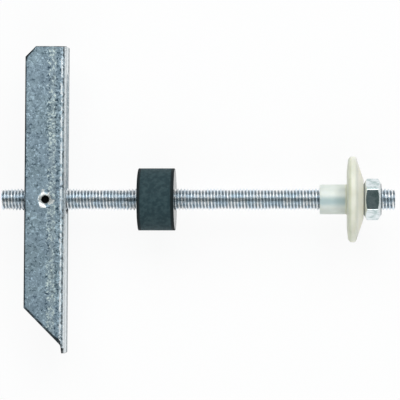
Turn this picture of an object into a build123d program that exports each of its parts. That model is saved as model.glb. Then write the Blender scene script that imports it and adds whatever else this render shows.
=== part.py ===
from build123d import *
import math
import os

# A gravity toggle anchor for hollow walls: a folded steel channel that swings on a barrel nut at the
# end of an M10 threaded rod, with a rubber collar, a flanged nylon bush and a hexagon nut on the rod.
# Millimetres. +X runs along the rod from the channel to the nut, +Y along the channel towards its
# square end, +Z up. The object lies on its side: the rod's axis is at the height of the bush's rim,
# and the origin is under the middle of the rod.

# Rod
THREAD_D = 10.0
ROD_LENGTH = 180.0
ROD_CHAMFER = 0.6

# Running clearances, on the radius, and the gap between faces that only touch
NUT_THREAD_GAP = 0.05
COLLAR_BORE_GAP = 0.05
BUSH_BORE_GAP = 0.08
NIB_GAP = 0.09
FACE_GAP = 0.05

# Barrel nut inside the channel: its wall round the bore for the rod, and its gaps to the web and the flanges
BARREL_WALL = 1.95
BARREL_WEB_GAP = 0.7
BARREL_END_GAP = 0.25
BARREL_CHAMFER = 0.5
RECESS_FLOOR = 1.2

# Nibs punched inwards from both flanges, which are the channel's pivot pins
NIB_REACH = 1.5
NIB_ROOT_R = 3.4
NIB_TIP_R = 2.3
PUNCH_MOUTH_R = 3.2
PUNCH_HOLE_R = 1.6
PUNCH_NECK = 2.0

# Toggle channel, folded from one sheet
CHANNEL_LENGTH = 140.0
SHEET = 1.5
BEND_R = 2.5
PIVOT_TO_SQUARE_END = 69.8
PIVOT_TO_FREE_EDGE = 9.4
CORNER_CUT = 4.8
SLANT_DEG = 45.0
WEB_NOSE = 3.6
SLANT_TURN_R = 3.0
NOSE_CORNER_R = 3.0
SLOT_SIDE_GAP = 1.0
SLOT_BRIDGE = 12.0

# Where the channel's pivot lies on the rod, from the rod's end, and how far from square the channel rests,
# its square end towards the nut
PIVOT_FROM_ROD_END = 20.7
REST_SWING_DEG = 0.45

# Rubber collar
COLLAR_D = 28.5
COLLAR_LENGTH = 16.4
COLLAR_FROM_ROD_END = 62.7
COLLAR_EDGE = 0.4

# Flanged bush
SLEEVE_WALL = 1.72
SLEEVE_LENGTH = 12.7
SLEEVE_EDGE = 0.4
SLEEVE_ROOT = 0.5
FLANGE_D = 39.2
FLANGE_THICKNESS = 7.6
FLANGE_SEAT_D = 26.0
FLANGE_BACK_LEAN = 0.7
FLANGE_RIM = 3.4
FLANGE_RIM_R = 1.2
FLANGE_BACK_EDGE = 0.9
FLANGE_FACE_D = 18.0

# Hexagon nut
NUT_ACROSS_FLATS = 16.8
NUT_THICKNESS = 8.1
NUT_CHAMFER_DEG = 30.0
NUT_MOUTH = 0.8
NUT_FROM_ROD_FAR_END = 6.2

# Sizes and places that follow from the sizes above
THREAD_R = THREAD_D / 2
BARREL_R = THREAD_R + NUT_THREAD_GAP + BARREL_WALL
WALL_GAP = 2 * (THREAD_R + NUT_THREAD_GAP + RECESS_FLOOR + NIB_REACH + BARREL_END_GAP)
CHANNEL_WIDTH = WALL_GAP + 2 * SHEET
PIVOT_TO_WEB_FACE = BARREL_R + BARREL_WEB_GAP + SHEET
PIVOT_TO_NOSE = CHANNEL_LENGTH - PIVOT_TO_SQUARE_END
CHANNEL_MIDDLE_Y = PIVOT_TO_SQUARE_END - CHANNEL_LENGTH / 2
SLEEVE_R = THREAD_R + BUSH_BORE_GAP + SLEEVE_WALL
AXIS_Z = max(FLANGE_D, COLLAR_D, CHANNEL_WIDTH) / 2
ROD_START = -ROD_LENGTH / 2
ROD_END = ROD_LENGTH / 2
PIVOT_X = ROD_START + PIVOT_FROM_ROD_END
COLLAR_START = ROD_START + COLLAR_FROM_ROD_END
NUT_START = ROD_END - NUT_FROM_ROD_FAR_END - NUT_THICKNESS
FLANGE_FRONT = NUT_START - FACE_GAP
FLANGE_BACK = FLANGE_FRONT - FLANGE_THICKNESS
SLEEVE_START = FLANGE_BACK - SLEEVE_LENGTH


def along_x(shape):
    """Turn a shape made along +Z so that it runs along +X."""
    return Rot(0, 90, 0) * shape


def facing_x(shape):
    """Stand a flat shape up so that its front faces +X and its top stays towards +Y."""
    return Plane(origin=(0, 0, 0), x_dir=(0, 0, -1), z_dir=(1, 0, 0)) * shape


def turned(points):
    """A solid of revolution about the X axis from its half outline, given as (x, r)."""
    return revolve(make_face(Polyline(*points, close=True)), Axis.X)


def drill_x(radius, start, end):
    """A cylinder along X, from start to end."""
    return Pos((start + end) / 2, 0, 0) * along_x(Cylinder(radius, end - start))


def threaded_rod():
    """The stud at the thread's outer diameter, with both ends chamfered."""
    rod = drill_x(THREAD_R, ROD_START, ROD_END)
    ends = rod.edges().filter_by(GeomType.CIRCLE)
    return chamfer(ends, ROD_CHAMFER)


def channel_section():
    """The folded sheet's section: a U that opens towards -X, with rounded bends, as a face in the XZ plane."""
    middle_z = (CHANNEL_WIDTH - SHEET) / 2
    middle_x = PIVOT_TO_WEB_FACE - SHEET / 2
    with BuildSketch(Plane.XZ) as section:
        with BuildLine():
            middle = FilletPolyline(
                (-PIVOT_TO_FREE_EDGE, middle_z),
                (middle_x, middle_z),
                (middle_x, -middle_z),
                (-PIVOT_TO_FREE_EDGE, -middle_z),
                radius=BEND_R - SHEET / 2,
            )
            offset(middle, SHEET / 2, side=Side.BOTH)
        make_face()
    return section.sketch


def channel_outline():
    """The flanges seen from the side: square end with one cut corner at the top, slanted end at the bottom.

    The slant runs from the free edge to the web's inner face, and turns down in a small curve to the web's nose.
    """
    free_x = -PIVOT_TO_FREE_EDGE
    top = PIVOT_TO_SQUARE_END
    bottom = -PIVOT_TO_NOSE
    nose_x = PIVOT_TO_WEB_FACE - SHEET
    slant = (nose_x - free_x) * math.tan(math.radians(SLANT_DEG))
    blank = make_face(
        Polyline(
            (free_x, bottom + WEB_NOSE + slant),
            (free_x, top - CORNER_CUT),
            (free_x + CORNER_CUT, top),
            (PIVOT_TO_WEB_FACE, top),
            (PIVOT_TO_WEB_FACE, bottom),
            (nose_x, bottom),
            (nose_x, bottom + WEB_NOSE),
            close=True,
        )
    )
    turn = blank.vertices().sort_by_distance((nose_x, bottom + WEB_NOSE))[0]
    return fillet(turn, SLANT_TURN_R)


def nose_outline():
    """The web seen from the front: a rectangle whose two corners at the slanted end are rounded."""
    blank = Rectangle(CHANNEL_WIDTH, CHANNEL_LENGTH)
    corners = blank.vertices().group_by(Axis.Y)[0]
    return Pos(0, CHANNEL_MIDDLE_Y, 0) * fillet(corners, NOSE_CORNER_R)


def web_slot():
    """The slot for the rod: from just below the rod to the bridge at the square end, with round ends."""
    radius = THREAD_R + SLOT_SIDE_GAP
    top = PIVOT_TO_SQUARE_END - SLOT_BRIDGE - radius
    cut = extrude(SlotCenterToCenter(top, 2 * radius, rotation=90), SHEET, both=True)
    return Pos(PIVOT_TO_WEB_FACE - SHEET / 2, top / 2, 0) * facing_x(cut)


def nib():
    """One punched nib on the +Z flange, pointing inwards, as (solid, hole)."""
    inner = WALL_GAP / 2
    outer = CHANNEL_WIDTH / 2
    tip = inner - NIB_REACH
    neck = outer - PUNCH_NECK
    solid = Pos(0, 0, (tip + inner) / 2) * Cone(NIB_TIP_R, NIB_ROOT_R, NIB_REACH)
    funnel = Pos(0, 0, (neck + outer) / 2) * Cone(PUNCH_HOLE_R, PUNCH_MOUTH_R, PUNCH_NECK)
    throat = Pos(0, 0, (tip + neck) / 2) * Cylinder(PUNCH_HOLE_R, neck - tip)
    return solid, funnel + throat


def toggle_channel():
    """The channel about its pivot: folded section, cut to its outlines, slotted and punched, then swung to rest."""
    blank = Pos(0, CHANNEL_MIDDLE_Y, 0) * extrude(channel_section(), CHANNEL_LENGTH / 2, both=True)
    sides = extrude(channel_outline(), CHANNEL_WIDTH, both=True)
    front = facing_x(extrude(nose_outline(), 2 * PIVOT_TO_WEB_FACE, both=True))
    channel = (blank & sides & front) - web_slot()
    solid, hole = nib()
    for side in (solid, mirror(solid, Plane.XY)):
        channel += side
    for side in (hole, mirror(hole, Plane.XY)):
        channel -= side
    return Pos(PIVOT_X, 0, 0) * Rot(0, 0, -REST_SWING_DEG) * channel


def pivot_nut():
    """The barrel nut across the channel, with a cross bore for the rod and a recess in each end for a nib.

    A recess is the nib's own cone, wider by the running gap and deeper by the barrel's end gap.
    """
    half = WALL_GAP / 2 - BARREL_END_GAP
    barrel = Cylinder(BARREL_R, 2 * half)
    barrel = chamfer(barrel.edges().filter_by(GeomType.CIRCLE), BARREL_CHAMFER)
    barrel -= along_x(Cylinder(THREAD_R + NUT_THREAD_GAP, 4 * BARREL_R))
    flare = (NIB_ROOT_R - NIB_TIP_R) / NIB_REACH
    floor = half - NIB_REACH
    floor_r = NIB_TIP_R + NIB_GAP - BARREL_END_GAP * flare
    mouth_r = floor_r + NIB_REACH * flare
    recess = Pos(0, 0, (floor + half) / 2) * Cone(floor_r, mouth_r, NIB_REACH)
    for side in (recess, mirror(recess, Plane.XY)):
        barrel -= side
    return Pos(PIVOT_X, 0, 0) * barrel


def rubber_collar():
    """The rubber cylinder with a plain bore for the rod."""
    end = COLLAR_START + COLLAR_LENGTH
    body = drill_x(COLLAR_D / 2, COLLAR_START, end)
    body = chamfer(body.edges().filter_by(GeomType.CIRCLE), COLLAR_EDGE)
    return body - drill_x(THREAD_R + COLLAR_BORE_GAP, COLLAR_START, end)


def flanged_bush():
    """The moulded bush, turned from its half outline: sleeve, flat seat, leaning back, rim and low cone.

    The rim is chamfered at its back and rounded at its front.
    """
    seat_r = FLANGE_SEAT_D / 2
    rim_r = FLANGE_D / 2
    bore_r = THREAD_R + BUSH_BORE_GAP
    rim_back = FLANGE_BACK + FLANGE_BACK_LEAN
    half = make_face(
        Polyline(
            (SLEEVE_START, bore_r),
            (SLEEVE_START, SLEEVE_R - SLEEVE_EDGE),
            (SLEEVE_START + SLEEVE_EDGE, SLEEVE_R),
            (FLANGE_BACK - SLEEVE_ROOT, SLEEVE_R),
            (FLANGE_BACK, SLEEVE_R + SLEEVE_ROOT),
            (FLANGE_BACK, seat_r),
            (rim_back, rim_r),
            (rim_back + FLANGE_RIM, rim_r),
            (FLANGE_FRONT, FLANGE_FACE_D / 2),
            (FLANGE_FRONT, bore_r),
            close=True,
        )
    )
    back, front = half.vertices().group_by(Axis.Y)[-1].sort_by(Axis.X)
    half = fillet(front, FLANGE_RIM_R)
    back = half.vertices().sort_by_distance(back)[0]
    return revolve(chamfer(back, FLANGE_BACK_EDGE), Axis.X)


def hex_nut():
    """The hexagon nut with two flats level, its corners taken off by a cone at both ends."""
    flats = NUT_ACROSS_FLATS / 2
    corners = flats / math.cos(math.pi / 6)
    rise = (corners - flats) * math.tan(math.radians(NUT_CHAMFER_DEG))
    blank = extrude(RegularPolygon(flats, 6, major_radius=False, rotation=90), NUT_THICKNESS)
    bore_r = THREAD_R + NUT_THREAD_GAP
    envelope = turned(
        [
            (0, 0),
            (0, flats),
            (rise, corners),
            (NUT_THICKNESS - rise, corners),
            (NUT_THICKNESS, flats),
            (NUT_THICKNESS, 0),
        ]
    )
    bore = turned(
        [
            (0, 0),
            (0, bore_r + NUT_MOUTH),
            (NUT_MOUTH, bore_r),
            (NUT_THICKNESS - NUT_MOUTH, bore_r),
            (NUT_THICKNESS, bore_r + NUT_MOUTH),
            (NUT_THICKNESS, 0),
        ]
    )
    return Pos(NUT_START, 0, 0) * ((along_x(blank) & envelope) - bore)


PIECES = {
    "toggle_channel": toggle_channel,
    "pivot_nut": pivot_nut,
    "threaded_rod": threaded_rod,
    "rubber_collar": rubber_collar,
    "flanged_bush": flanged_bush,
    "hex_nut": hex_nut,
}

os.makedirs("parts", exist_ok=True)
for name, build in PIECES.items():
    export_step(Pos(0, 0, AXIS_Z) * build(), f"parts/{name}.step")
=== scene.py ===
import bmesh, bpy, math
import numpy as np
from mathutils import Matrix, Vector


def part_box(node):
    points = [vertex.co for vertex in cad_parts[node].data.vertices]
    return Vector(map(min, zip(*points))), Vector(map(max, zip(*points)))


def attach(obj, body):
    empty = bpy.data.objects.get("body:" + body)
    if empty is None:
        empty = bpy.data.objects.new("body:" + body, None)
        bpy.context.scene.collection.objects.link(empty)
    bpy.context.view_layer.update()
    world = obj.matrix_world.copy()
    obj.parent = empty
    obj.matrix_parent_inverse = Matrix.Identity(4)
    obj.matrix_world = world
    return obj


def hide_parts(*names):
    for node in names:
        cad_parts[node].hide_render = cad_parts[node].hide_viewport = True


# A gravity toggle anchor: a folded galvanised channel on a barrel nut, a zinc-plated M10 rod, a rubber
# collar, a nylon bush and a hexagon nut. Metres; lengths of the object are written in millimetres times MM.

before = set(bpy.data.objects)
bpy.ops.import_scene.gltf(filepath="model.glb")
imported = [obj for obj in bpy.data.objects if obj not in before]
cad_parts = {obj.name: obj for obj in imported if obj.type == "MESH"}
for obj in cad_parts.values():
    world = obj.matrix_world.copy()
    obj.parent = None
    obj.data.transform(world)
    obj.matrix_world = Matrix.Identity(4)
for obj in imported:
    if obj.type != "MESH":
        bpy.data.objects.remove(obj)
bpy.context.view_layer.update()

MM = 0.001
SEED = 7
MERGE_GAP = 0.002 * MM
SHORTEST_EDGE = 0.001 * MM

# Edges of each piece that bend more than this many degrees stay sharp
CREASE_DEG = {"rod": 60, "nut": 22, "collar": 60, "bush": 35, "channel": 38}

# Places taken from the frame
ROD_LOW, ROD_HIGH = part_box("threaded_rod")
COLLAR_LOW, COLLAR_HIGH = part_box("rubber_collar")
BUSH_LOW, BUSH_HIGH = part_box("flanged_bush")
NUT_LOW, NUT_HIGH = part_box("hex_nut")
BARREL_LOW, BARREL_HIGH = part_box("pivot_nut")
AXIS_Y = (ROD_LOW.y + ROD_HIGH.y) / 2
AXIS_Z = (ROD_LOW.z + ROD_HIGH.z) / 2
PIVOT_X = (BARREL_LOW.x + BARREL_HIGH.x) / 2

# Thread: its tooth, and the fractions of a turn at which it has points
PITCH = 1.5 * MM
THREAD_R = (ROD_HIGH.z - ROD_LOW.z) / 2
THREAD_DEPTH = 0.92 * MM
ROOT_SHARE = 0.2
CREST_SHARE = 0.125
FLANK_ROUNDING = 0.25
ROD_CHAMFER = 0.6 * MM
THREAD_SIDES = 56
TURN_FRACTIONS = np.array([0.0, 0.0625, 0.14, 0.24, 0.34, 0.43, 0.57, 0.66, 0.76, 0.86, 0.9375])

# Channel: sheet, fold, outline and slot
SHEET = 1.5 * MM
FOLD_R = 2.5 * MM
HALF_WIDTH = 9.5 * MM
WEB_FACE = 9.2 * MM
FREE_EDGE = 9.4 * MM
SQUARE_END = 69.8 * MM
NOSE_END = 70.2 * MM
CORNER_CUT = 4.8 * MM
NOSE_LENGTH = 3.6 * MM
SLANT_TURN_R = 3.0 * MM
NOSE_CORNER_R = 3.0 * MM
SLOT_R = 6.0 * MM
SLOT_TOP = 51.8 * MM
REST_SWING = math.radians(0.45)
CUT_EDGE_BEVEL = 0.14 * MM
CUT_EDGE_DEG = 50
INNER_FACE = WEB_FACE - SHEET
FLAT_END = WEB_FACE - FOLD_R
FOLD_Z = HALF_WIDTH - FOLD_R
FACE_ALLOWANCE = 0.05 * MM
SLANT_TOUCH = SLANT_TURN_R * math.tan(math.radians(22.5))

# Rows of the channel's grid: x on the flange on both sides of the punched patch, x round the fold, the last
# of these as an angle of the outer arc, z where the web starts on each skin, and bearings of the slot's end
FREE_EDGE_ROWS = np.array([-FREE_EDGE, -8.9 * MM, -7.6 * MM, -6.1 * MM])
PATCH_ROWS = 13
FOLD_SIDE_ROWS = np.array([5.6 * MM, FLAT_END])
FOLD_ROWS = np.array([6.82, 7.0, 7.27, 7.5, 7.7]) * MM
LAST_FOLD_ROW_DEG = 66.42
WEB_START_OUTER = 6.5 * MM
WEB_START_INNER = 6.3 * MM
SLOT_ROWS_DEG = np.array([90, 80, 70, 60, 50, 40, 30, 20, 10, 0])

# Key lines across those rows, counted from the nose's end, and how many columns lie between each two
SLANT, PATCH_LOW, SLOT_LOW, PATCH_HIGH, SLOT_HIGH, SQUARE = range(1, 7)
COLUMN_COUNTS = [4, 30, 8, 8, 24, 10]

# Punched pivot: the patch of the grid that it takes, its hole and its nib
PATCH_HALF_X = 4.6 * MM
PATCH_HALF_Y = 8.0 * MM
PATCH_R = 4.3 * MM
HOLE_R = 1.6 * MM
NIB_TIP_R = 2.3 * MM
NIB_ROOT_R = 3.4 * MM
NIB_REACH = 1.5 * MM
NIB_BREAK = 0.1 * MM

# Its funnel, from the mouth to the hole: radius and depth in mm, and how far its petals spread and lift
FUNNEL = (
    (3.75, 0.0, 0.05, 0.0),
    (3.35, 0.04, 0.22, 0.0),
    (2.85, 0.28, 0.26, 0.22),
    (2.45, 0.55, 0.20, 0.34),
    (2.05, 0.95, 0.12, 0.26),
    (1.72, 1.45, 0.07, 0.12),
    (1.60, 2.0, 0.03, 0.0),
)
PETAL_WAVES = ((2, 0.30), (3, 0.34), (5, 0.26), (8, 0.20), (13, 0.12))
PETAL_SPREAD = 0.6 * MM
PETAL_LIFT = 0.7 * MM

# How wide the dark band is along the other cut edges, against the free edge's. At the slot's end the band
# is painted shade
SLANT_BAND = 1.7
CORNER_BAND = 1.2
SQUARE_END_BAND = 0.4
WEB_EDGE_BAND = 0.35
SLOT_END_SHADE = 1.2

# Stored numbers of the channel in mm: fold on the web, where the fold ends, edge where no cut edge is near,
# and the distance from the pivot at which the dark band of the slanted end starts to widen towards its tip
ON_WEB = -4.0
FOLD_STOPS = -3.4
FAR = 9.0
TIP_START = 61.0
TIP_FADE = 4.0
TIP_WIDENING = 0.5

# Painted shade in the punched place in mm: the radius where it is darkest and the length over which it fades
PIT_CORE = 1.4
PIT_FADE = 3.0

# Strips of painted shade on the web in mm, which is also made matt there: beside the upper fold, over the
# far half, and off the slot's cut face
STRIP_START = 6.6
STRIP_FADE = 0.8
FAR_HALF_START = 1.0
FAR_HALF_FADE = 6.0
SLOT_CLEAR = 0.3
LEAST_WEB_SHADE = 0.85
MOST_WEB_SHADE = 0.95
WEB_SHADE_LENGTH = 8.0

# Collar: its bore's room on the thread, what it is longer than the CAD node towards the bush, its edges and
# the points on its long sides; then its unevenness in mm, as waves of count, size and turn, and dark edges
BORE_GAP = 0.05 * MM
COLLAR_SWELL = 0.5 * MM
COLLAR_EDGE_R = 0.3 * MM
COLLAR_BORE_EDGE_R = 0.25 * MM
COLLAR_SIDES = 96
COLLAR_LONG_SIDE = 2 * MM
COLLAR_SIDE_POINTS = 5
COLLAR_END_FROM = 0.42
COLLAR_FACE_FROM = 1.4
COLLAR_END_INSET = 0.02
COLLAR_SIDE_INSET = 0.022
COLLAR_END_WAVES = ((1, 0.10, -0.6), (2, 0.05, 1.1), (5, 0.03, -math.pi / 2))
COLLAR_SIDE_WAVES = ((3, 0.012, 0.4), (7, 0.010, -math.pi / 2))
COLLAR_BACK_EDGE = 0.85
COLLAR_FRONT_EDGE = 0.82

# Bush: SLEEVE_SHORT is what its sleeve is shorter than the CAD node's, BACK_SHADE_EDGE, where the painted
# shade on the flange's back ends, lies in mm from the flange's back, and the streaks of painted shade on the
# sleeve are bearings and widths in degrees
SLEEVE_R = 6.8 * MM
SLEEVE_SHORT = 0.35 * MM
FLANGE_THICKNESS = 7.6 * MM
SEAT_R = 13.0 * MM
BACK_LEAN = 0.7 * MM
RIM = 3.4 * MM
FACE_R = 9.0 * MM
BUSH_BORE_R = 5.08 * MM
BUSH_SIDES = 128
BUSH_STEP = 1.2 * MM
BACK_SHADE_EDGE = 2.0
SHADE_STREAKS = ((98, 19), (215, 24), (318, 20))

# Nut: bearings of its points from the middle of a flat, then its shape and the fade of its stored numbers
NUT_BEARINGS = np.array([-30, -29.2, -28.2, -26.8, -24, -20, -14, -7, 0, 7, 14, 20, 24, 26.8, 28.2, 29.2])
NUT_CHAMFER_DEG = 30.0
NUT_MOUTH = 0.8 * MM
NUT_MOUTH_BREAK = 0.05 * MM
NUT_FACE_SHARE = 0.825
NUT_FACE_BREAK = 0.12 * MM
NUT_FACE_DROP = 0.03 * MM
NUT_FLAT_START = 0.12 * MM
NUT_CORNER_SHARPNESS = 30
NUT_EDGE_R = 0.45 * MM
NUT_RIM_WIDTH = 0.6 * MM
NUT_RIM_FADE = 0.4 * MM

# Camera: a long lens over the bush, aimed at the middle of the rod
METRES_PER_PIXEL = 0.4576 * MM
FRAME_PIXELS = 400
CAMERA_FOOT = Vector((63.3 * MM, -3.0 * MM, AXIS_Z))
CAMERA_HEIGHT = 1.28
CAMERA_AIM = Vector((0.97 * MM, -0.27 * MM, AXIS_Z))
CAMERA_REACH = 20
SENSOR = 36.0

# Lamps, all turned towards the origin: name, place, width and length, power
LAMPS = (
    ("key_light", (0.0, 0.97, 1.03), (1.7, 1.05), 17.6),
    ("fill_light", (0.0, -1.1, 0.92), (1.9, 1.1), 11.6),
    ("end_light", (0.66, 0.0, 1.18), (1.6, 0.25), 3),
)

# Light on everything from the room
ROOM_COLOUR = (0.094, 0.122, 0.123)

# Floor: flat to a radius, then rising to its rim, and how much of it is plain white to the camera
FLOOR_FLAT_R = 3.0
FLOOR_RIM_R = 6.0
FLOOR_RIM_HEIGHT = 0.7
FLOOR_RINGS = 13
FLOOR_SIDES = 48
FLOOR_WHITE_SHARE = 0.9
PAPER = (0.9, 0.9, 0.9)
WHITE = (1.0, 1.0, 1.0)

# Tones of the sheet
CRYSTAL_DARK = (0.043, 0.082, 0.110)
CRYSTAL_BRIGHT = (0.645, 0.82, 0.93)
# A paler tone for a band beside the fold
PALE_ZINC = (0.62, 0.72, 0.74)
DULL_ZINC = (0.14, 0.21, 0.26)
# A painted glint: bright flecks laid into the colour beside the fold
PAINTED_GLINT = (0.86, 0.97, 0.92)
BLUE_ZINC = (0.27, 0.36, 0.52)
# Painted pale sheen on the web, standing for the bright floor that it reflects
WEB_SHEEN_DIM = (0.66, 0.72, 0.75)
WEB_SHEEN_BRIGHT = (0.98, 0.99, 0.98)
# Painted shade on strips of the web
PAINTED_WEB_SHADE = (0.12, 0.125, 0.125)
# A painted highlight along the fold and over its round
PAINTED_FOLD_HIGHLIGHT = (0.84, 0.89, 0.92)
# Painted shade in the fold's bend
CREASE_PAINTED_SHADE = (0.07, 0.08, 0.085)
# A dark band along the cut edges, which is painted shade where it lies at the slot's end
EDGE_DARK_AND_SLOT_SHADE = (0.02, 0.026, 0.03)
# Pale torn steel with a painted highlight, on the petals round the punched hole
TORN_STEEL_AND_HIGHLIGHT = (0.90, 0.92, 0.91)
# Painted shade deep in the punched hole and in the barrel nut's recesses
PAINTED_HOLE_SHADE = (0.012, 0.013, 0.014)

# Where those tones lie in millimetres from the fold's start: above 0 on the flange, below 0 round the fold.
# Each pair runs from none to full, and a stripe has a pair for each of its sides.
STRONG_FLECKS = (6.6, 4.8)
PALE_STRIPE = ((5.2, 3.6), (1.7, 2.6))
DULL_STRIPE = ((2.4, 1.5), (0.2, 0.6))
GLINT_STRIPE = ((6.6, 5.2), (1.4, 2.2))
FOLD_HIGHLIGHT_STRIPE = ((0.0, -0.3), (-1.1, -0.8))
CREASE_STRIPE = ((-1.1, -1.3), (-1.9, -1.7))
ROUND_FOLD = (-0.9, -1.3)
WEB_BEGINS = (-1.6, -2.5)

# Tones of the rod, the nut and the barrel nut
CREST_ZINC = (1.0, 1.0, 1.0)
BLOOMED_CREST = (0.76, 0.86, 0.94)
# Painted shade in the thread's roots
ROOT_PAINTED_SHADE = (0.18, 0.22, 0.25)
NUT_ZINC = (0.77, 0.83, 0.85)
BLOOMED_NUT = (0.46, 0.57, 0.57)
TURNED_ZINC = (0.80, 0.84, 0.85)
# A painted dark reflection where the end faces meet the chamfers
NUT_RIM_PAINTED_REFLECTION = (0.04, 0.06, 0.065)
BARREL_DARK = (0.42, 0.44, 0.46)
BARREL_BRIGHT = (0.62, 0.64, 0.66)

# Tones of the rubber and the nylon
RUBBER_DARK = (0.009, 0.025, 0.032)
RUBBER_PALE = (0.025, 0.057, 0.067)
RUBBER_DUST = (0.046, 0.083, 0.092)
RUBBER_EDGE = (0.003, 0.008, 0.010)
IVORY = ((0.75, 0.75, 0.63), (0.83, 0.83, 0.72))
# Painted shade on the flange's back
PAINTED_SHADE_OLIVE = ((0.66, 0.67, 0.52), (0.74, 0.75, 0.60))
CREAM = ((0.91, 0.87, 0.70), (0.97, 0.93, 0.78))
COOL_IVORY = ((0.68, 0.72, 0.68), (0.76, 0.80, 0.76))
# Painted shade for streaks on the sleeve
PAINTED_SLEEVE_SHADE = (0.40, 0.52, 0.54)


# Mesh tools


def grid_faces(rows, columns, closed_rows=False, closed_columns=False, twist=0):
    """Quads of a grid whose points are numbered row by row. Closed rows or columns join the last one to the
    first; twist joins the last column to the first one that many rows further on."""
    r = np.arange(rows if closed_rows else rows - 1)
    c = np.arange(columns if closed_columns else columns - 1)
    r, c = np.meshgrid(r, c, indexing="ij")
    r, c = r.ravel(), c.ravel()
    wraps = (c == columns - 1) * twist
    keep = (r + 1 + wraps < rows) | closed_rows
    r, c, wraps = r[keep], c[keep], wraps[keep]

    def number(row, column):
        return (row % rows) * columns + column % columns

    corners = [number(r, c), number(r + 1, c), number(r + 1 + wraps, c + 1), number(r + wraps, c + 1)]
    return np.stack(corners, axis=1)


def smooth_mesh(name, points, faces, values):
    """A smooth mesh from points and quads, with doubles merged and faces outward. values are numbers kept at
    the points by name."""
    mesh = bpy.data.meshes.new(name)
    mesh.from_pydata(np.asarray(points, float).reshape(-1, 3).tolist(), [], np.asarray(faces).tolist())
    for key, numbers in values.items():
        store = mesh.attributes.new(key, "FLOAT", "POINT")
        store.data.foreach_set("value", np.asarray(numbers, dtype=np.float32).ravel())
    work = bmesh.new()
    work.from_mesh(mesh)
    bmesh.ops.remove_doubles(work, verts=work.verts, dist=MERGE_GAP)
    bmesh.ops.dissolve_degenerate(work, edges=work.edges, dist=SHORTEST_EDGE)
    bmesh.ops.recalc_face_normals(work, faces=work.faces)
    work.to_mesh(mesh)
    work.free()
    mesh.shade_smooth()
    return mesh


def make_piece(name, body, node, points, faces, material, values):
    """One piece of the object from points and quads, sharp at its creases, riding on its body in place of the
    CAD node."""
    mesh = smooth_mesh(name, points, faces, values)
    mesh.set_sharp_from_angle(angle=math.radians(CREASE_DEG[name]))
    mesh.materials.append(material)
    piece = bpy.data.objects.new(name, mesh)
    bpy.context.collection.objects.link(piece)
    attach(piece, body)
    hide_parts(node)
    return piece


def around(count):
    """Angles of so many points evenly round a circle."""
    return np.arange(count) / count * 2 * np.pi


def about_x(x, radius, angle):
    """Points at a place along the rod's axis, a distance from it and an angle from +Y towards +Z."""
    x, radius, angle = np.broadcast_arrays(x, radius, angle)
    return np.stack([x, AXIS_Y + radius * np.cos(angle), AXIS_Z + radius * np.sin(angle)], axis=-1)


def waves(angle, parts):
    """The sum of size * cos(count * angle + turn) over parts of count, size and turn."""
    return sum(size * np.cos(count * angle + turn) for count, size, turn in parts)


def rounded(corners, radii, steps):
    """A closed outline (x, r) with each corner replaced by an arc: the arc's points lie on the circle that
    touches both sides, from one touching point to the other."""
    out = []
    for k, radius in enumerate(radii):
        here = np.array(corners[k], float)
        before = np.array(corners[k - 1], float) - here
        after = np.array(corners[(k + 1) % len(corners)], float) - here
        u, v = before / np.linalg.norm(before), after / np.linalg.norm(after)
        half = math.acos(float(np.clip(u @ v, -1, 1))) / 2
        middle = (u + v) / np.linalg.norm(u + v)
        centre = here + middle * radius / math.sin(half)
        start = here + u * radius / math.tan(half) - centre
        end = here + v * radius / math.tan(half) - centre
        share = np.linspace(0, 1, steps)[:, None]
        arc = start * (1 - share) + end * share
        out.append(centre + arc / np.linalg.norm(arc, axis=1)[:, None] * radius)
    return np.concatenate(out)


def divided(line, between):
    """A closed outline with more points on its long sides, as many as between gives for a side's length."""
    pieces = []
    for k in range(len(line)):
        step = line[(k + 1) % len(line)] - line[k]
        count = between(np.linalg.norm(step))
        pieces.append(line[k] + step * (np.arange(count + 1) / (count + 1))[:, None])
    return np.concatenate(pieces)


# Shader tools


def node(tree, kind, **settings):
    """A new node with its properties set."""
    made = tree.nodes.new(kind)
    for key, value in settings.items():
        setattr(made, key, value)
    return made


def put(tree, socket, value):
    """Gives a socket a number, a colour or a link from another socket."""
    if isinstance(value, (int, float)):
        socket.default_value = value
    elif isinstance(value, tuple):
        socket.default_value = (*value, 1)
    else:
        tree.links.new(value, socket)


def math_node(tree, operation, a, b=None, clamp=False):
    """A Math node fed by sockets or numbers; returns its output."""
    made = node(tree, "ShaderNodeMath", operation=operation, use_clamp=clamp)
    put(tree, made.inputs[0], a)
    if b is not None:
        put(tree, made.inputs[1], b)
    return made.outputs[0]


def plus(tree, a, b):
    """The sum of two sockets or numbers."""
    return math_node(tree, "ADD", a, b)


def times(tree, a, b):
    """The product of two sockets or numbers."""
    return math_node(tree, "MULTIPLY", a, b)


def swing(tree, value, amount):
    """A value of about 0.5, moved to about 0 and multiplied by an amount."""
    return times(tree, math_node(tree, "SUBTRACT", value, 0.5), amount)


def ramp(tree, value, low, high, to_low=0.0, to_high=1.0):
    """Smooth step of a value from low to high; returns the output socket."""
    made = node(tree, "ShaderNodeMapRange", interpolation_type="SMOOTHSTEP")
    put(tree, made.inputs["Value"], value)
    for key, number in (("From Min", low), ("From Max", high), ("To Min", to_low), ("To Max", to_high)):
        put(tree, made.inputs[key], number)
    return made.outputs["Result"]


def stripe(tree, value, sides, strength=1.0):
    """Strength where a value lies past both sides of a stripe, and 0 outside it."""
    return times(tree, ramp(tree, value, *sides[0]), ramp(tree, value, *sides[1], 0.0, strength))


def own_place(tree):
    """The object's own place."""
    return node(tree, "ShaderNodeTexCoord").outputs["Object"]


def noise(tree, place, scale, detail=2.0, rough=0.5, distortion=0.0, result="Fac"):
    """Fractal noise, about 0.5 in the middle, on a place."""
    made = node(tree, "ShaderNodeTexNoise")
    put(tree, made.inputs["Vector"], place)
    put(tree, made.inputs["Scale"], scale)
    put(tree, made.inputs["Detail"], detail)
    put(tree, made.inputs["Roughness"], rough)
    put(tree, made.inputs["Distortion"], distortion)
    return made.outputs[result]


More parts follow.
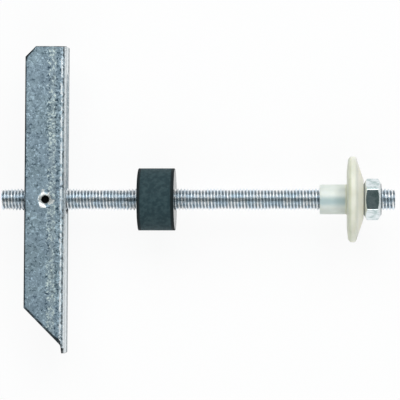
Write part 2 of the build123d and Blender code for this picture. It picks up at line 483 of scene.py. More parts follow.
def tinted(tree, factor, first, second):
    """A colour between two colours or sockets, by a factor: inputs 6 and 7 and output 2 are the colour's."""
    made = node(tree, "ShaderNodeMix", data_type="RGBA")
    put(tree, made.inputs["Factor"], factor)
    put(tree, made.inputs[6], first)
    put(tree, made.inputs[7], second)
    return made.outputs[2]


def layered(tree, colour, layers):
    """A colour with layers laid over it in turn, each a cover from 0 to 1 and a tone."""
    for cover, tone in layers:
        colour = tinted(tree, cover, colour, tone)
    return colour


def new_group(name, inputs, outputs):
    """An empty shader node group with float inputs {name: value} and float outputs."""
    group = bpy.data.node_groups.new(name, "ShaderNodeTree")
    for key, value in inputs.items():
        socket = group.interface.new_socket(key, in_out="INPUT", socket_type="NodeSocketFloat")
        socket.default_value = value
    for key in outputs:
        group.interface.new_socket(key, in_out="OUTPUT", socket_type="NodeSocketFloat")
    return group, node(group, "NodeGroupInput"), node(group, "NodeGroupOutput")


def grain_group():
    """Fine grain: fractal noise in the object's own place, as a value from 0 to 1 and as a height."""
    group, come, go = new_group("fine_grain", {"Scale": 900.0, "Contrast": 1.0}, ["Value", "Height"])
    texture = noise(group, own_place(group), come.outputs["Scale"], detail=4.0, rough=0.6)
    spread = swing(group, texture, come.outputs["Contrast"])
    value = math_node(group, "ADD", spread, 0.5, clamp=True)
    put(group, go.inputs["Value"], value)
    put(group, go.inputs["Height"], value)
    return group


def spangle_group():
    """Galvanised spangle: small crystals, each of its own brightness, with bright and dark flecks between
    them, both in the object's own place. Flecks sets how strong the flecks are."""
    inputs = {"Cell Scale": 800.0, "Fleck Scale": 930.0, "Flecks": 1.0}
    group, come, go = new_group("spangle", inputs, ["Brightness", "Height"])
    place = own_place(group)
    shift = node(group, "ShaderNodeVectorMath", operation="MULTIPLY_ADD")
    put(group, shift.inputs[0], noise(group, place, 500.0, result="Color"))
    shift.inputs[1].default_value = (1.2 * MM, 1.2 * MM, 1.2 * MM)
    put(group, shift.inputs[2], place)
    moved = shift.outputs["Vector"]
    crystals = node(group, "ShaderNodeTexVoronoi")
    put(group, crystals.inputs["Vector"], moved)
    put(group, crystals.inputs["Scale"], come.outputs["Cell Scale"])
    single = node(group, "ShaderNodeSeparateColor")
    put(group, single.inputs["Color"], crystals.outputs["Color"])
    cells = single.outputs["Red"]
    flecks = noise(group, moved, come.outputs["Fleck Scale"], detail=1.5, distortion=0.8)
    bright = times(group, ramp(group, flecks, 0.56, 0.72), 0.55)
    dark = times(group, ramp(group, flecks, 0.44, 0.28), 0.42)
    strong = times(group, math_node(group, "SUBTRACT", bright, dark), come.outputs["Flecks"])
    even = plus(group, swing(group, cells, 0.22), swing(group, noise(group, place, 170.0), 0.42))
    total = math_node(group, "ADD", even, plus(group, strong, 0.5), clamp=True)
    put(group, go.inputs["Brightness"], total)
    put(group, go.inputs["Height"], plus(group, cells, flecks))
    return group


FINE_GRAIN = grain_group()
SPANGLE = spangle_group()


def placed_group(tree, group, **values):
    """A group node with its inputs set; underscores in names stand for spaces."""
    made = node(tree, "ShaderNodeGroup", node_tree=group)
    for key, value in values.items():
        put(tree, made.inputs[key.replace("_", " ")], value)
    return made


def new_material(name, **sockets):
    """A material whose Principled shader has its constant sockets set; returns it, its tree and shader."""
    material = bpy.data.materials.new(name)
    material.use_nodes = True
    tree = material.node_tree
    shader = tree.nodes["Principled BSDF"]
    for key, value in sockets.items():
        shader.inputs[key.replace("_", " ")].default_value = value
    return material, tree, shader


def feed(tree, shader, **sockets):
    """Links what changes over the surface to the shader; underscores in names stand for spaces."""
    for key, value in sockets.items():
        tree.links.new(value, shader.inputs[key.replace("_", " ")])


def by_grain(tree, grain, low, high):
    """A roughness between two values, by the fine grain."""
    return ramp(tree, grain.outputs["Value"], 0.2, 0.8, low, high)


def bump(tree, shader, height, strength, distance):
    """Height to the shader's normal."""
    made = node(tree, "ShaderNodeBump")
    put(tree, made.inputs["Strength"], strength)
    put(tree, made.inputs["Distance"], distance)
    put(tree, made.inputs["Height"], height)
    feed(tree, shader, Normal=made.outputs["Normal"])


def stored(tree, name):
    """A number kept at the mesh's points."""
    return node(tree, "ShaderNodeAttribute", attribute_name=name).outputs["Fac"]


# Materials


def galvanised_sheet():
    """Dull blue-grey zinc with crystals and flecks, stronger beside the fold, where it is paler in a band and
    has painted glints; a painted highlight along the fold, painted shade where it bends, a painted pale sheen
    on the web and painted shade on its strips, and a dark band along the cut edges, which at the slot's end
    is painted shade. Round the punched hole the pale torn steel carries a painted highlight, and the hole
    painted shade.
    fold is millimetres from the fold's start, edge from a cut edge, pit rises to 1 in the punched place, and
    web_shade is how much painted shade darkens the web, which is also made matt there."""
    material, tree, shader = new_material("galvanised_sheet", Specular_IOR_Level=0.0)
    place = own_place(tree)
    pit = stored(tree, "pit")
    fold = plus(tree, stored(tree, "fold"), swing(tree, noise(tree, place, 700.0), 1.6))
    crystals = placed_group(tree, SPANGLE, Flecks=ramp(tree, fold, *STRONG_FLECKS, 0.95, 3.6))
    bright = crystals.outputs["Brightness"]
    patchy = noise(tree, place, 260.0)
    dashes = noise(tree, place, 420.0)
    # Painted glints: the brightest spangle flecks beside the fold turned almost white
    glint = times(tree, stripe(tree, fold, GLINT_STRIPE), ramp(tree, bright, 0.62, 0.92, 0.0, 0.9))
    blue = ramp(tree, noise(tree, place, 90.0), 0.4, 0.62, 0.0, 0.15)
    # Painted shade on the web, patchy; the web is also made matt and less metallic there
    web_shade = times(tree, stored(tree, "web_shade"), ramp(tree, patchy, 0.3, 0.6, 0.8, 1.0))
    # Painted highlight: a bright dashed line along the start of the fold
    line = times(tree, stripe(tree, fold, FOLD_HIGHLIGHT_STRIPE), ramp(tree, dashes, 0.40, 0.52, 0.1, 1.0))
    # Painted shade: a dark dashed line where the sheet bends
    crease = times(tree, stripe(tree, fold, CREASE_STRIPE), ramp(tree, dashes, 0.54, 0.47, 0.0, 0.75))
    edge_patches = ramp(tree, patchy, 0.3, 0.5, 0.55, 0.95)
    cut = times(tree, ramp(tree, stored(tree, "edge"), 0.75, 0.45), edge_patches)
    # Painted highlight on the torn petals round the punched hole, over the pale of the torn steel
    burr_highlight = plus(tree, pit, times(tree, noise(tree, place, 360.0), 2.8))
    layers = (
        (stripe(tree, fold, PALE_STRIPE, 0.32), PALE_ZINC),
        (stripe(tree, fold, DULL_STRIPE, 0.2), DULL_ZINC),
        (glint, PAINTED_GLINT),
        (blue, BLUE_ZINC),
        # Painted pale sheen on the web, for the bright floor that it reflects
        (ramp(tree, fold, *WEB_BEGINS, 0.0, 0.85), tinted(tree, bright, WEB_SHEEN_DIM, WEB_SHEEN_BRIGHT)),
        (web_shade, PAINTED_WEB_SHADE),
        # Painted highlight on the fold's line and, fainter, over its round
        (line, PAINTED_FOLD_HIGHLIGHT),
        (ramp(tree, fold, *ROUND_FOLD, 0.0, 0.35), PAINTED_FOLD_HIGHLIGHT),
        (crease, CREASE_PAINTED_SHADE),
        (cut, EDGE_DARK_AND_SLOT_SHADE),
        (ramp(tree, burr_highlight, 1.76, 1.90), TORN_STEEL_AND_HIGHLIGHT),
        # Painted shade in the punched hole
        (ramp(tree, pit, 0.84, 0.91), PAINTED_HOLE_SHADE),
    )
    colour = layered(tree, tinted(tree, bright, CRYSTAL_DARK, CRYSTAL_BRIGHT), layers)
    grain = placed_group(tree, FINE_GRAIN, Scale=1300.0, Contrast=0.9)
    rough = plus(tree, by_grain(tree, grain, 0.34, 0.56), times(tree, web_shade, 0.45))
    metal = ramp(tree, web_shade, 0.0, 0.9, 0.9, 0.0)
    feed(tree, shader, Base_Color=colour, Metallic=metal, Roughness=rough)
    bump(tree, shader, crystals.outputs["Height"], 0.35, 0.06 * MM)
    return material


def thread_zinc():
    """Bright bluish zinc on the crests and flanks, with painted shade in the roots. depth is 0 on a crest
    and 1 in a root."""
    material, tree, shader = new_material("zinc_thread", Metallic=1.0)
    bloom = ramp(tree, noise(tree, own_place(tree), 300.0), 0.38, 0.64)
    zinc = tinted(tree, bloom, CREST_ZINC, BLOOMED_CREST)
    root_shade = ramp(tree, stored(tree, "depth"), 0.55, 0.95, 0.0, 0.94)
    grain = placed_group(tree, FINE_GRAIN, Scale=1500.0, Contrast=1.2)
    rough = by_grain(tree, grain, 0.25, 0.37)
    feed(tree, shader, Base_Color=tinted(tree, root_shade, zinc, ROOT_PAINTED_SHADE), Roughness=rough)
    return material


def nut_zinc():
    """Bright zinc plate with fine tool marks and a faint dark bloom; its turned chamfers are more matt.
    turned is 1 there and 0 on the flats, and rim is 1 along the edges of the end faces, which carry a painted
    dark reflection."""
    material, tree, shader = new_material("zinc_nut")
    turned = stored(tree, "turned")
    bloom = ramp(tree, noise(tree, own_place(tree), 340.0), 0.36, 0.70)
    layers = (
        (ramp(tree, turned, 0.0, 1.0, 0.0, 0.9), TURNED_ZINC),
        (ramp(tree, stored(tree, "rim"), 0.2, 0.9, 0.0, 0.9), NUT_RIM_PAINTED_REFLECTION),
    )
    colour = layered(tree, tinted(tree, bloom, NUT_ZINC, BLOOMED_NUT), layers)
    grain = placed_group(tree, FINE_GRAIN, Scale=1500.0, Contrast=1.2)
    rough = plus(tree, by_grain(tree, grain, 0.10, 0.20), times(tree, turned, 0.28))
    feed(tree, shader, Base_Color=colour, Metallic=ramp(tree, turned, 0.0, 1.0, 1.0, 0.6), Roughness=rough)
    bump(tree, shader, grain.outputs["Height"], 0.05, 0.03 * MM)
    return material


def barrel_zinc():
    """The barrel nut's dull zinc, with painted shade in its recesses, by the distance from its own axis."""
    material, tree, shader = new_material("zinc_barrel", Metallic=1.0)
    parts = node(tree, "ShaderNodeSeparateXYZ")
    put(tree, parts.inputs[0], own_place(tree))
    across = math_node(tree, "SUBTRACT", parts.outputs["X"], PIVOT_X)
    along = math_node(tree, "SUBTRACT", parts.outputs["Y"], AXIS_Y)
    square = plus(tree, times(tree, across, across), times(tree, along, along))
    # Painted shade in the barrel nut's recesses, near its own axis
    hole_shade = ramp(tree, math_node(tree, "SQRT", square), 3.4 * MM, 2.6 * MM)
    grain = placed_group(tree, FINE_GRAIN, Scale=1200.0, Contrast=1.0)
    zinc = tinted(tree, grain.outputs["Value"], BARREL_DARK, BARREL_BRIGHT)
    rough = by_grain(tree, grain, 0.3, 0.5)
    feed(tree, shader, Base_Color=tinted(tree, hole_shade, zinc, PAINTED_HOLE_SHADE), Roughness=rough)
    return material


def black_rubber():
    """Matt black-green rubber with fine dust in its grain, darker along its edges and smooth where it is cut.
    edge is millimetres from an end's edge, below 0 on the end faces."""
    material, tree, shader = new_material("black_rubber", Metallic=0.0, Specular_IOR_Level=0.22)
    edge = stored(tree, "edge")
    grain = placed_group(tree, FINE_GRAIN, Scale=1400.0, Contrast=1.3)
    dust = noise(tree, own_place(tree), 520.0, detail=3.0, rough=0.6)
    layers = (
        (ramp(tree, dust, 0.40, 0.66, 0.0, 0.6), RUBBER_DUST),
        (ramp(tree, edge, 1.5, 0.9, 0.0, 0.95), RUBBER_EDGE),
    )
    colour = layered(tree, tinted(tree, grain.outputs["Value"], RUBBER_DARK, RUBBER_PALE), layers)
    rough = times(tree, ramp(tree, edge, -0.3, 0.0, 0.25, 1.0), by_grain(tree, grain, 0.6, 0.8))
    feed(tree, shader, Base_Color=colour, Roughness=rough)
    bump(tree, shader, grain.outputs["Height"], 0.3, 0.05 * MM)
    return material


def ivory_nylon():
    """Natural nylon: ivory, faintly cloudy and a little translucent. The thin sleeve is cooler and has
    streaks of painted shade, and the flange has a yellow-green painted shade on its back up to a sharp edge
    and is creamier on its cone. along is millimetres from the flange's back towards the nut, shade_streak how
    strong the sleeve's painted shade is."""
    material, tree, shader = new_material(
        "ivory_nylon",
        Metallic=0.0,
        Roughness=0.38,
        IOR=1.53,
        Subsurface_Weight=0.25,
        Subsurface_Radius=(1.0, 0.9, 0.7),
        Subsurface_Scale=1.2 * MM,
    )
    along = stored(tree, "along")
    cloud = ramp(tree, noise(tree, own_place(tree), 130.0, detail=3.0), 0.35, 0.65)
    ivory, back_shade, cream, cool = [tinted(tree, cloud, *pair) for pair in (IVORY, PAINTED_SHADE_OLIVE, CREAM, COOL_IVORY)]
    front = tinted(tree, ramp(tree, along, 4.4, 5.6), ivory, cream)
    # Painted shade on the flange's back, up to a sharp edge
    flange = tinted(tree, ramp(tree, along, BACK_SHADE_EDGE - 0.12, BACK_SHADE_EDGE + 0.12), back_shade, front)
    # Painted shade in streaks round the sleeve
    sleeve = tinted(tree, ramp(tree, stored(tree, "shade_streak"), 0.0, 1.0, 0.0, 0.85), cool, PAINTED_SLEEVE_SHADE)
    colour = tinted(tree, ramp(tree, along, -0.2, -1.2), flange, sleeve)
    grain = placed_group(tree, FINE_GRAIN, Scale=700.0, Contrast=0.8)
    feed(tree, shader, Base_Color=colour, Roughness=by_grain(tree, grain, 0.32, 0.46))
    bump(tree, shader, grain.outputs["Height"], 0.12, 0.05 * MM)
    return material


# Pieces on the rod's axis


def threaded_rod():
    """The rod's thread as one surface of turn and angle. At turn t and angle a the point lies at x = start +
    pitch (t + a / full turn), held between the rod's ends, and its radius is the smaller of the end cones'
    and the tooth's, at the fraction of a turn that x less the angle's share gives. Beyond an end the radius
    shrinks to nothing, which closes the end."""
    turns = int(round((ROD_HIGH.x - ROD_LOW.x) / PITCH))
    whole_turns = np.arange(-2, turns + 2)
    turn = np.append((whole_turns[:, None] + TURN_FRACTIONS[None]).ravel(), turns + 2.0)
    angle = around(THREAD_SIDES)
    share = angle[None] / (2 * np.pi)
    raw = ROD_LOW.x + PITCH * (turn[:, None] + share)
    x = np.clip(raw, ROD_LOW.x, ROD_HIGH.x)
    wave = np.abs(2 * (((x - ROD_LOW.x) / PITCH - share) % 1.0) - 1)
    tooth = np.clip((wave - ROOT_SHARE) / (1 - CREST_SHARE - ROOT_SHARE), 0, 1)
    tooth = (1 - FLANK_ROUNDING) * tooth + FLANK_ROUNDING * tooth * tooth * (3 - 2 * tooth)
    radius = THREAD_R - THREAD_DEPTH + THREAD_DEPTH * tooth
    cone = THREAD_R - ROD_CHAMFER + np.minimum(x - ROD_LOW.x, ROD_HIGH.x - x)
    cap = np.clip(1 - np.abs(raw - x) / PITCH, 0, 1)
    points = about_x(x, np.minimum(radius, cone) * cap, angle[None])
    faces = grid_faces(len(turn), THREAD_SIDES, closed_columns=True, twist=len(TURN_FRACTIONS))
    values = {"depth": (1 - tooth) * (cap == 1)}
    make_piece("rod", "rod", "threaded_rod", points, faces, thread_zinc(), values)


def hex_nut():
    """The nut as a closed outline carried round the axis. At angle a the outer radius is the rounded
    hexagon's, flats / (sum of cos(a - side)^p)^(1/p), and the two chamfer cones rise to meet it, so their
    edge is curved, with a small arc between. Both halves have the same rows, each an inset from its end face
    and a radius. turned is 1 on the chamfers, and rim is 1 where an end face meets its chamfer."""
    low, high = NUT_LOW.x, NUT_HIGH.x
    flats = (NUT_HIGH.z - NUT_LOW.z) / 2
    face_r = flats * NUT_FACE_SHARE
    bore = THREAD_R + BORE_GAP
    mouth_r = bore + NUT_MOUTH
    six = 90 + 60 * np.arange(6)
    angle = np.radians((six[:, None] + NUT_BEARINGS[None]).ravel())
    lean = np.clip(np.cos(angle[:, None] - np.radians(six)[None]), 0, None) ** NUT_CORNER_SHARPNESS
    outer = flats / lean.sum(axis=1) ** (1 / NUT_CORNER_SHARPNESS)
    rise = (outer - face_r) * math.tan(math.radians(NUT_CHAMFER_DEG))
    start = rise + NUT_EDGE_R * math.tan(math.radians(45 - NUT_CHAMFER_DEG / 2))
    half = [
        (NUT_MOUTH, bore),
        (NUT_MOUTH_BREAK, mouth_r),
        (0, mouth_r + NUT_MOUTH_BREAK),
        (0, face_r - NUT_RIM_WIDTH),
        (0, face_r - NUT_FACE_BREAK),
        (NUT_FACE_DROP, face_r),
    ]
    half += [(rise * s, face_r + (outer - face_r) * s) for s in (0.3, 0.6)]
    for tilt in np.radians(np.linspace(90 - NUT_CHAMFER_DEG, 0, 6)):
        half.append((start - NUT_EDGE_R * math.sin(tilt), outer - NUT_EDGE_R * (1 - math.cos(tilt))))
    half += [(start + NUT_FLAT_START, outer), ((high - low) / 2, outer)]
    rows = [(low + inset, r) for inset, r in half] + [(high - inset, r) for inset, r in half[-2::-1]]
    one = np.ones_like(angle)
    x = np.stack([one * row[0] for row in rows])
    radius = np.stack([one * row[1] for row in rows])
    points = about_x(x, radius, angle[None])
    faces = grid_faces(len(rows), len(angle), closed_rows=True, closed_columns=True)
    inset = np.minimum(x - low, high - x)
    turned = np.clip((start[None] - inset) / (0.5 * NUT_EDGE_R), 0, 1)
    near_end = np.clip(1.5 - inset / NUT_RIM_FADE, 0, 1)
    near_edge = np.clip((radius - face_r) / NUT_RIM_FADE + 1.3, 0, 1)
    values = {"turned": turned, "rim": near_end * near_edge}
    make_piece("nut", "nut", "hex_nut", points, faces, nut_zinc(), values)


def rubber_collar():
    """The collar's rounded outline turned about the axis; its cut end faces lean and wave a little, and it
    is very slightly out of round, by low waves of the angle that fade towards the bore. edge is the distance
    from the nearer end, and -1 on the end faces."""
    low, high = COLLAR_LOW.x, COLLAR_HIGH.x + COLLAR_SWELL
    outer = (COLLAR_HIGH.z - COLLAR_LOW.z) / 2
    bore = THREAD_R + BORE_GAP
    corners = [(low, bore), (low, outer), (high, outer), (high, bore)]
    radii = [COLLAR_BORE_EDGE_R, COLLAR_EDGE_R, COLLAR_EDGE_R, COLLAR_BORE_EDGE_R]
    line = rounded(corners, radii, 6)
    line = divided(line, lambda length: COLLAR_SIDE_POINTS if length > COLLAR_LONG_SIDE else 0)
    along, out = line[:, 0:1], line[:, 1:2]
    angle = around(COLLAR_SIDES)
    share = np.clip((out - bore) / (outer - bore), 0, 1)
    off = along - (low + high) / 2
    ends = np.sign(off) * (np.abs(off) > COLLAR_END_FROM * (high - low))
    x = along - ends * (waves(angle, COLLAR_END_WAVES)[None] + COLLAR_END_INSET) * MM * share**2
    radius = out - (COLLAR_SIDE_INSET - waves(angle, COLLAR_SIDE_WAVES)[None]) * MM * share
    points = about_x(np.clip(x, low, high), radius, angle[None])
    faces = grid_faces(len(line), len(angle), closed_rows=True, closed_columns=True)
    edge = np.minimum(COLLAR_BACK_EDGE * (along - low), COLLAR_FRONT_EDGE * (high - along)) / MM
    edge = np.where(out < outer - COLLAR_EDGE_R * COLLAR_FACE_FROM, -1.0, edge)
    values = {"edge": np.repeat(edge, len(angle))}
    make_piece("collar", "collar", "rubber_collar", points, faces, black_rubber(), values)


def flanged_bush():
    """The bush's rounded outline, each corner with its radius, turned about the axis: sleeve, seat, leaning
    back, blunt rim and low cone. shade_streak, the sleeve's painted shade, is the sum of exp(-(bearing from
    the middle / width)^2)."""
    start, front = BUSH_LOW.x + SLEEVE_SHORT, BUSH_HIGH.x
    back = front - FLANGE_THICKNESS
    rim_r = (BUSH_HIGH.z - BUSH_LOW.z) / 2
    outline = [
        ((start, BUSH_BORE_R), 0.25 * MM),
        ((start, SLEEVE_R), 0.4 * MM),
        ((back, SLEEVE_R), 0.5 * MM),
        ((back, SEAT_R), 4.0 * MM),
        ((back + BACK_LEAN, rim_r), 1.9 * MM),
        ((back + BACK_LEAN + RIM, rim_r), 1.3 * MM),
        ((front, FACE_R), 0.5 * MM),
        ((front, BUSH_BORE_R), 0.3 * MM),
    ]
    corners, radii = zip(*outline)
    line = divided(rounded(corners, radii, 7), lambda length: int(length / BUSH_STEP))
    angle = around(BUSH_SIDES)
    points = about_x(line[:, 0:1], line[:, 1:2], angle[None])
    faces = grid_faces(len(line), len(angle), closed_rows=True, closed_columns=True)
    shade_streak = np.zeros_like(angle)
    for middle, width in SHADE_STREAKS:
        off = (np.degrees(angle) - middle + 180) % 360 - 180
        shade_streak += np.exp(-((off / width) ** 2))
    along = np.repeat((line[:, 0] - back) / MM, len(angle))
    values = {"along": along, "shade_streak": np.tile(shade_streak, len(line))}
    make_piece("bush", "bush", "flanged_bush", points, faces, ivory_nylon(), values)


# The channel


def slant_y(x):
    """Where the slanted cut ends the flanges: 45 degrees down to the web's inner face, and before it an arc
    that turns the cut straight down."""
    corner = -NOSE_END + NOSE_LENGTH
    centre_x, centre_y = INNER_FACE - SLANT_TURN_R, corner - SLANT_TOUCH
    arc = centre_y + np.sqrt(np.clip(SLANT_TURN_R**2 - (x - centre_x) ** 2, 0, None))
    in_arc = x > INNER_FACE - SLANT_TOUCH * math.cos(math.radians(45))
    return np.where(in_arc, arc, corner + INNER_FACE - x)


def corner_cut(x):
    """How far the cut corner at a place x of the flange takes the square end back."""
    return np.clip(CORNER_CUT - (x + FREE_EDGE), 0, None)


def channel_rows():
    """The section's rows from the upper free edge to the web's middle, for the outer and the inner skin, as
    (x, z) columns: the flange, the fold by its x, the fold below the flange, and the web, closer together
    towards the slot's edge. Also the nose's first row, and the first and last row of the punched patch."""
    patch_x = np.linspace(-PATCH_HALF_X, PATCH_HALF_X, PATCH_ROWS)
    flange = np.concatenate([FREE_EDGE_ROWS, patch_x, FOLD_SIDE_ROWS])
    slot_z = SLOT_R * np.sin(np.radians(SLOT_ROWS_DEG))
    down = np.radians(np.linspace(LAST_FOLD_ROW_DEG, 0, 8)[1:])
    inner_r = FOLD_R - SHEET

    def stack(x, z):
        return np.stack(np.broadcast_arrays(x, z), axis=1)

    outer_turn = np.arccos((FOLD_ROWS - FLAT_END) / FOLD_R)
    outer = [
        stack(flange, HALF_WIDTH),
        stack(FOLD_ROWS, FOLD_Z + FOLD_R * np.sin(outer_turn)),
        stack(FLAT_END + FOLD_R * np.cos(down), FOLD_Z + FOLD_R * np.sin(down)),
        stack(WEB_FACE, np.append(WEB_START_OUTER, slot_z)),
    ]
    inner_turn = np.arccos(np.clip((FOLD_ROWS - FLAT_END) / inner_r, -1, 1))
    inner = [
        stack(flange, HALF_WIDTH - SHEET),
        stack(FOLD_ROWS, FOLD_Z + inner_r * np.sin(inner_turn)),
        stack(INNER_FACE, np.linspace(FOLD_Z, WEB_START_OUTER, len(down) + 2)[1:-1]),
        stack(INNER_FACE, np.append(WEB_START_INNER, slot_z)),
    ]
    nose_from = len(flange) + len(FOLD_ROWS) - 1
    patch = (len(FREE_EDGE_ROWS), len(FREE_EDGE_ROWS) + PATCH_ROWS - 1)
    return np.concatenate(outer), np.concatenate(inner), nose_from, patch


def channel_lines(rows, nose_from):
    """For each row the heights y of the key lines: nose end, slant, patch bottom, slot bottom, patch top,
    slot top, square end; between two key lines the grid's columns are spaced evenly. Also the key lines'
    columns, and which rows belong to the nose."""
    x, z = rows[:, 0], np.abs(rows[:, 1])
    is_nose = np.arange(len(rows)) >= nose_from
    past_corner = np.clip(z - (HALF_WIDTH - NOSE_CORNER_R), 0, None)
    dip = NOSE_CORNER_R - np.sqrt(np.clip(NOSE_CORNER_R**2 - past_corner**2, 0, None))
    turn_down = -NOSE_END + NOSE_LENGTH - SLANT_TOUCH
    round_end = np.sqrt(np.clip(SLOT_R**2 - z**2, 0, None)) * is_nose * (z <= SLOT_R)
    full = np.ones_like(x)
    keys = [
        np.where(is_nose, -NOSE_END + dip, 0),
        np.where(is_nose, turn_down, slant_y(x)),
        -PATCH_HALF_Y * full,
        -round_end,
        PATCH_HALF_Y * full,
        SLOT_TOP + round_end,
        SQUARE_END - corner_cut(x),
    ]
    columns = [keys[0][:, None]]
    for count, start, end in zip(COLUMN_COUNTS, keys, keys[1:]):
        share = np.linspace(0, 1, count + 1)[None, 1:]
        columns.append(start[:, None] * (1 - share) + end[:, None] * share)
    return np.concatenate(columns, axis=1), np.cumsum([0] + COLUMN_COUNTS), is_nose


def both_sides(rows):
    """Rows down to the middle, followed by the same rows in reverse without the middle one."""
    return np.concatenate([rows, rows[:-1][::-1]])


def channel_cells(z, is_nose, marks, patches):
    """Which cells of the grid exist, and which of them belong to a punched place: a flange has no cells
    beyond its slanted cut, and the web has none in the slot."""
    row, column = np.meshgrid(np.arange(len(z) - 1), np.arange(marks[SQUARE]), indexing="ij")
    nose_cell = is_nose[:-1] & is_nose[1:]
    there = nose_cell[:, None] | (column >= marks[SLANT])
    within = np.abs(z) <= SLOT_R + SHORTEST_EDGE
    in_slot = within[:-1] & within[1:] & nose_cell
    there &= ~(in_slot[:, None] & (column >= marks[SLOT_LOW]) & (column < marks[SLOT_HIGH]))
    punched = np.zeros_like(there)
    for first, last in patches:
        in_patch = (column >= marks[PATCH_LOW]) & (column < marks[PATCH_HIGH])
        punched |= (row >= first) & (row < last) & in_patch
    return there, punched


def cell_quads(cells, columns):
    """The quads of the marked cells of a grid that has so many columns of points."""
    row, column = np.nonzero(cells)
    corner = row * columns + column
    return np.stack([corner, corner + columns, corner + columns + 1, corner + 1], axis=1)


def cut_edge_walls(quads, apart):
    """Quads from the outer to the inner skin along every edge that only one of the quads has. The numbers of
    the inner skin's points are apart more than those of the outer's."""
    starts = quads.ravel().astype(np.int64)
    ends = np.roll(quads, -1, axis=1).ravel().astype(np.int64)
    border = ~np.isin(starts * apart + ends, ends * apart + starts)
    a, b = starts[border], ends[border]
    return np.stack([b, a, a + apart, b + apart], axis=1)


def patch_loop(rows, columns):
    """The rows and columns of the points once round a patch of the grid."""
    (first, last), (low, high) = rows, columns
    loop = [(k, low) for k in range(first, last)]
    loop += [(last, k) for k in range(low, high)]
    loop += [(k, high) for k in range(last, first, -1)]
    loop += [(first, k) for k in range(high, low, -1)]
    return np.array(loop).T


def punched_place(outside, inside, rng):
    """Rings from the outer skin's rim through the punched funnel, its throat and the nib to the inner skin's
    rim. A ring's points keep the rim's bearings; its radius and depth come from a profile, and the funnel's
    wall is torn into a few uneven petals by seeded waves of the bearing."""
    side = math.copysign(1.0, outside[0, 2])
    bearing = np.arctan2(outside[:, 1], outside[:, 0])
    rim_r = np.hypot(outside[:, 0], outside[:, 1])
    halfway = (rim_r + PATCH_R) / 2
    tear = waves(bearing, [(count, size, rng.uniform(0, 2 * np.pi)) for count, size in PETAL_WAVES])
    top = HALF_WIDTH
    under = HALF_WIDTH - SHEET
    tip = under - NIB_REACH
    profile = [(halfway, top, 0, 0), (PATCH_R, top, 0, 0)]
    profile += [(radius * MM, top - depth * MM, spread, lift) for radius, depth, spread, lift in FUNNEL]
    profile += [(HOLE_R, tip + NIB_BREAK, 0, 0), (HOLE_R + NIB_BREAK, tip, 0, 0), (NIB_TIP_R, tip, 0, 0)]
    profile += [(NIB_ROOT_R, under, 0, 0), (PATCH_R, under, 0, 0), (halfway, under, 0, 0)]
    rings = [outside]
    for radius, height, spread, lift in profile:
        r = radius + spread * PETAL_SPREAD * tear
        z = side * np.minimum(height + lift * PETAL_LIFT * tear, HALF_WIDTH)
        rings.append(np.stack([r * np.cos(bearing), r * np.sin(bearing), z], axis=1))
    rings.append(inside)
    return np.stack(rings)


def finish_numbers(x, y, z):
    """The numbers that the sheet's finish reads, for points about the pivot before the piece is swung to
    rest. fold is the distance along the sheet from the fold's start, edge the least distance to a cut edge,
    each divided by how wide its dark band is, pit falls with the distance from the pivot, and web_shade is
    the painted shade of the web along its upper side and over its far half."""
    bearing = np.degrees(np.arctan2(np.abs(z) - FOLD_Z, x - FLAT_END))
    bent = np.where(x <= FLAT_END, (FLAT_END - x) / MM, -np.radians(90 - bearing) * FOLD_R / MM)
    on_web = np.abs(z) < FOLD_Z
    fold = np.where(np.abs(z) > FOLD_Z, bent, ON_WEB)

    slanted = (y - slant_y(np.clip(x, -FREE_EDGE, INNER_FACE))) * math.sqrt(0.5)
    slanted = np.where(x > INNER_FACE + FACE_ALLOWANCE, FAR * MM, slanted)
    corner = (SQUARE_END - y - corner_cut(x)) / math.sqrt(2)
    square = np.where(x + FREE_EDGE > CORNER_CUT, (SQUARE_END - y) / SQUARE_END_BAND, corner / CORNER_BAND)
    edge = np.minimum.reduce([x + FREE_EDGE, slanted / SLANT_BAND, square]) / MM
    # Painted shade at the slot's end, laid on as part of the dark edge band
    slot_end = np.where(y < 0, np.abs(np.hypot(z, y) - SLOT_R), FAR * MM)
    web_edge = np.minimum(slot_end / SLOT_END_SHADE, (y + NOSE_END) / WEB_EDGE_BAND) / MM
    nose_side = np.where(y < -NOSE_END + NOSE_LENGTH, (x - INNER_FACE) / MM, FAR)
    tip = np.clip((-y / MM - TIP_START) / TIP_FADE, 0, 1)
    flange_edge = np.minimum(edge, nose_side) * (1 - TIP_WIDENING * tip)
    edge = np.where(on_web, np.minimum(web_edge, FAR), flange_edge)

    pit = np.clip(1 - (np.hypot(x, y) / MM - PIT_CORE) / PIT_FADE, -2, 1)

    # Painted shade on the web: beside its upper fold and over its far half, clear of the slot
    slot_gap = (np.hypot(z, y - np.clip(y, 0, SLOT_TOP)) - SLOT_R) / MM
    far_half = np.clip((FAR_HALF_START - z / MM) / FAR_HALF_FADE, 0, 1) * (slot_gap > SLOT_CLEAR)
    upper_strip = np.clip((z / MM - STRIP_START) / STRIP_FADE, 0, 1)
    web_shade = np.maximum(upper_strip, far_half) * (fold < FOLD_STOPS)
    web_shade *= np.clip(LEAST_WEB_SHADE + y / MM / WEB_SHADE_LENGTH, LEAST_WEB_SHADE, MOST_WEB_SHADE)
    return {"fold": fold, "edge": edge, "pit": pit, "web_shade": web_shade}


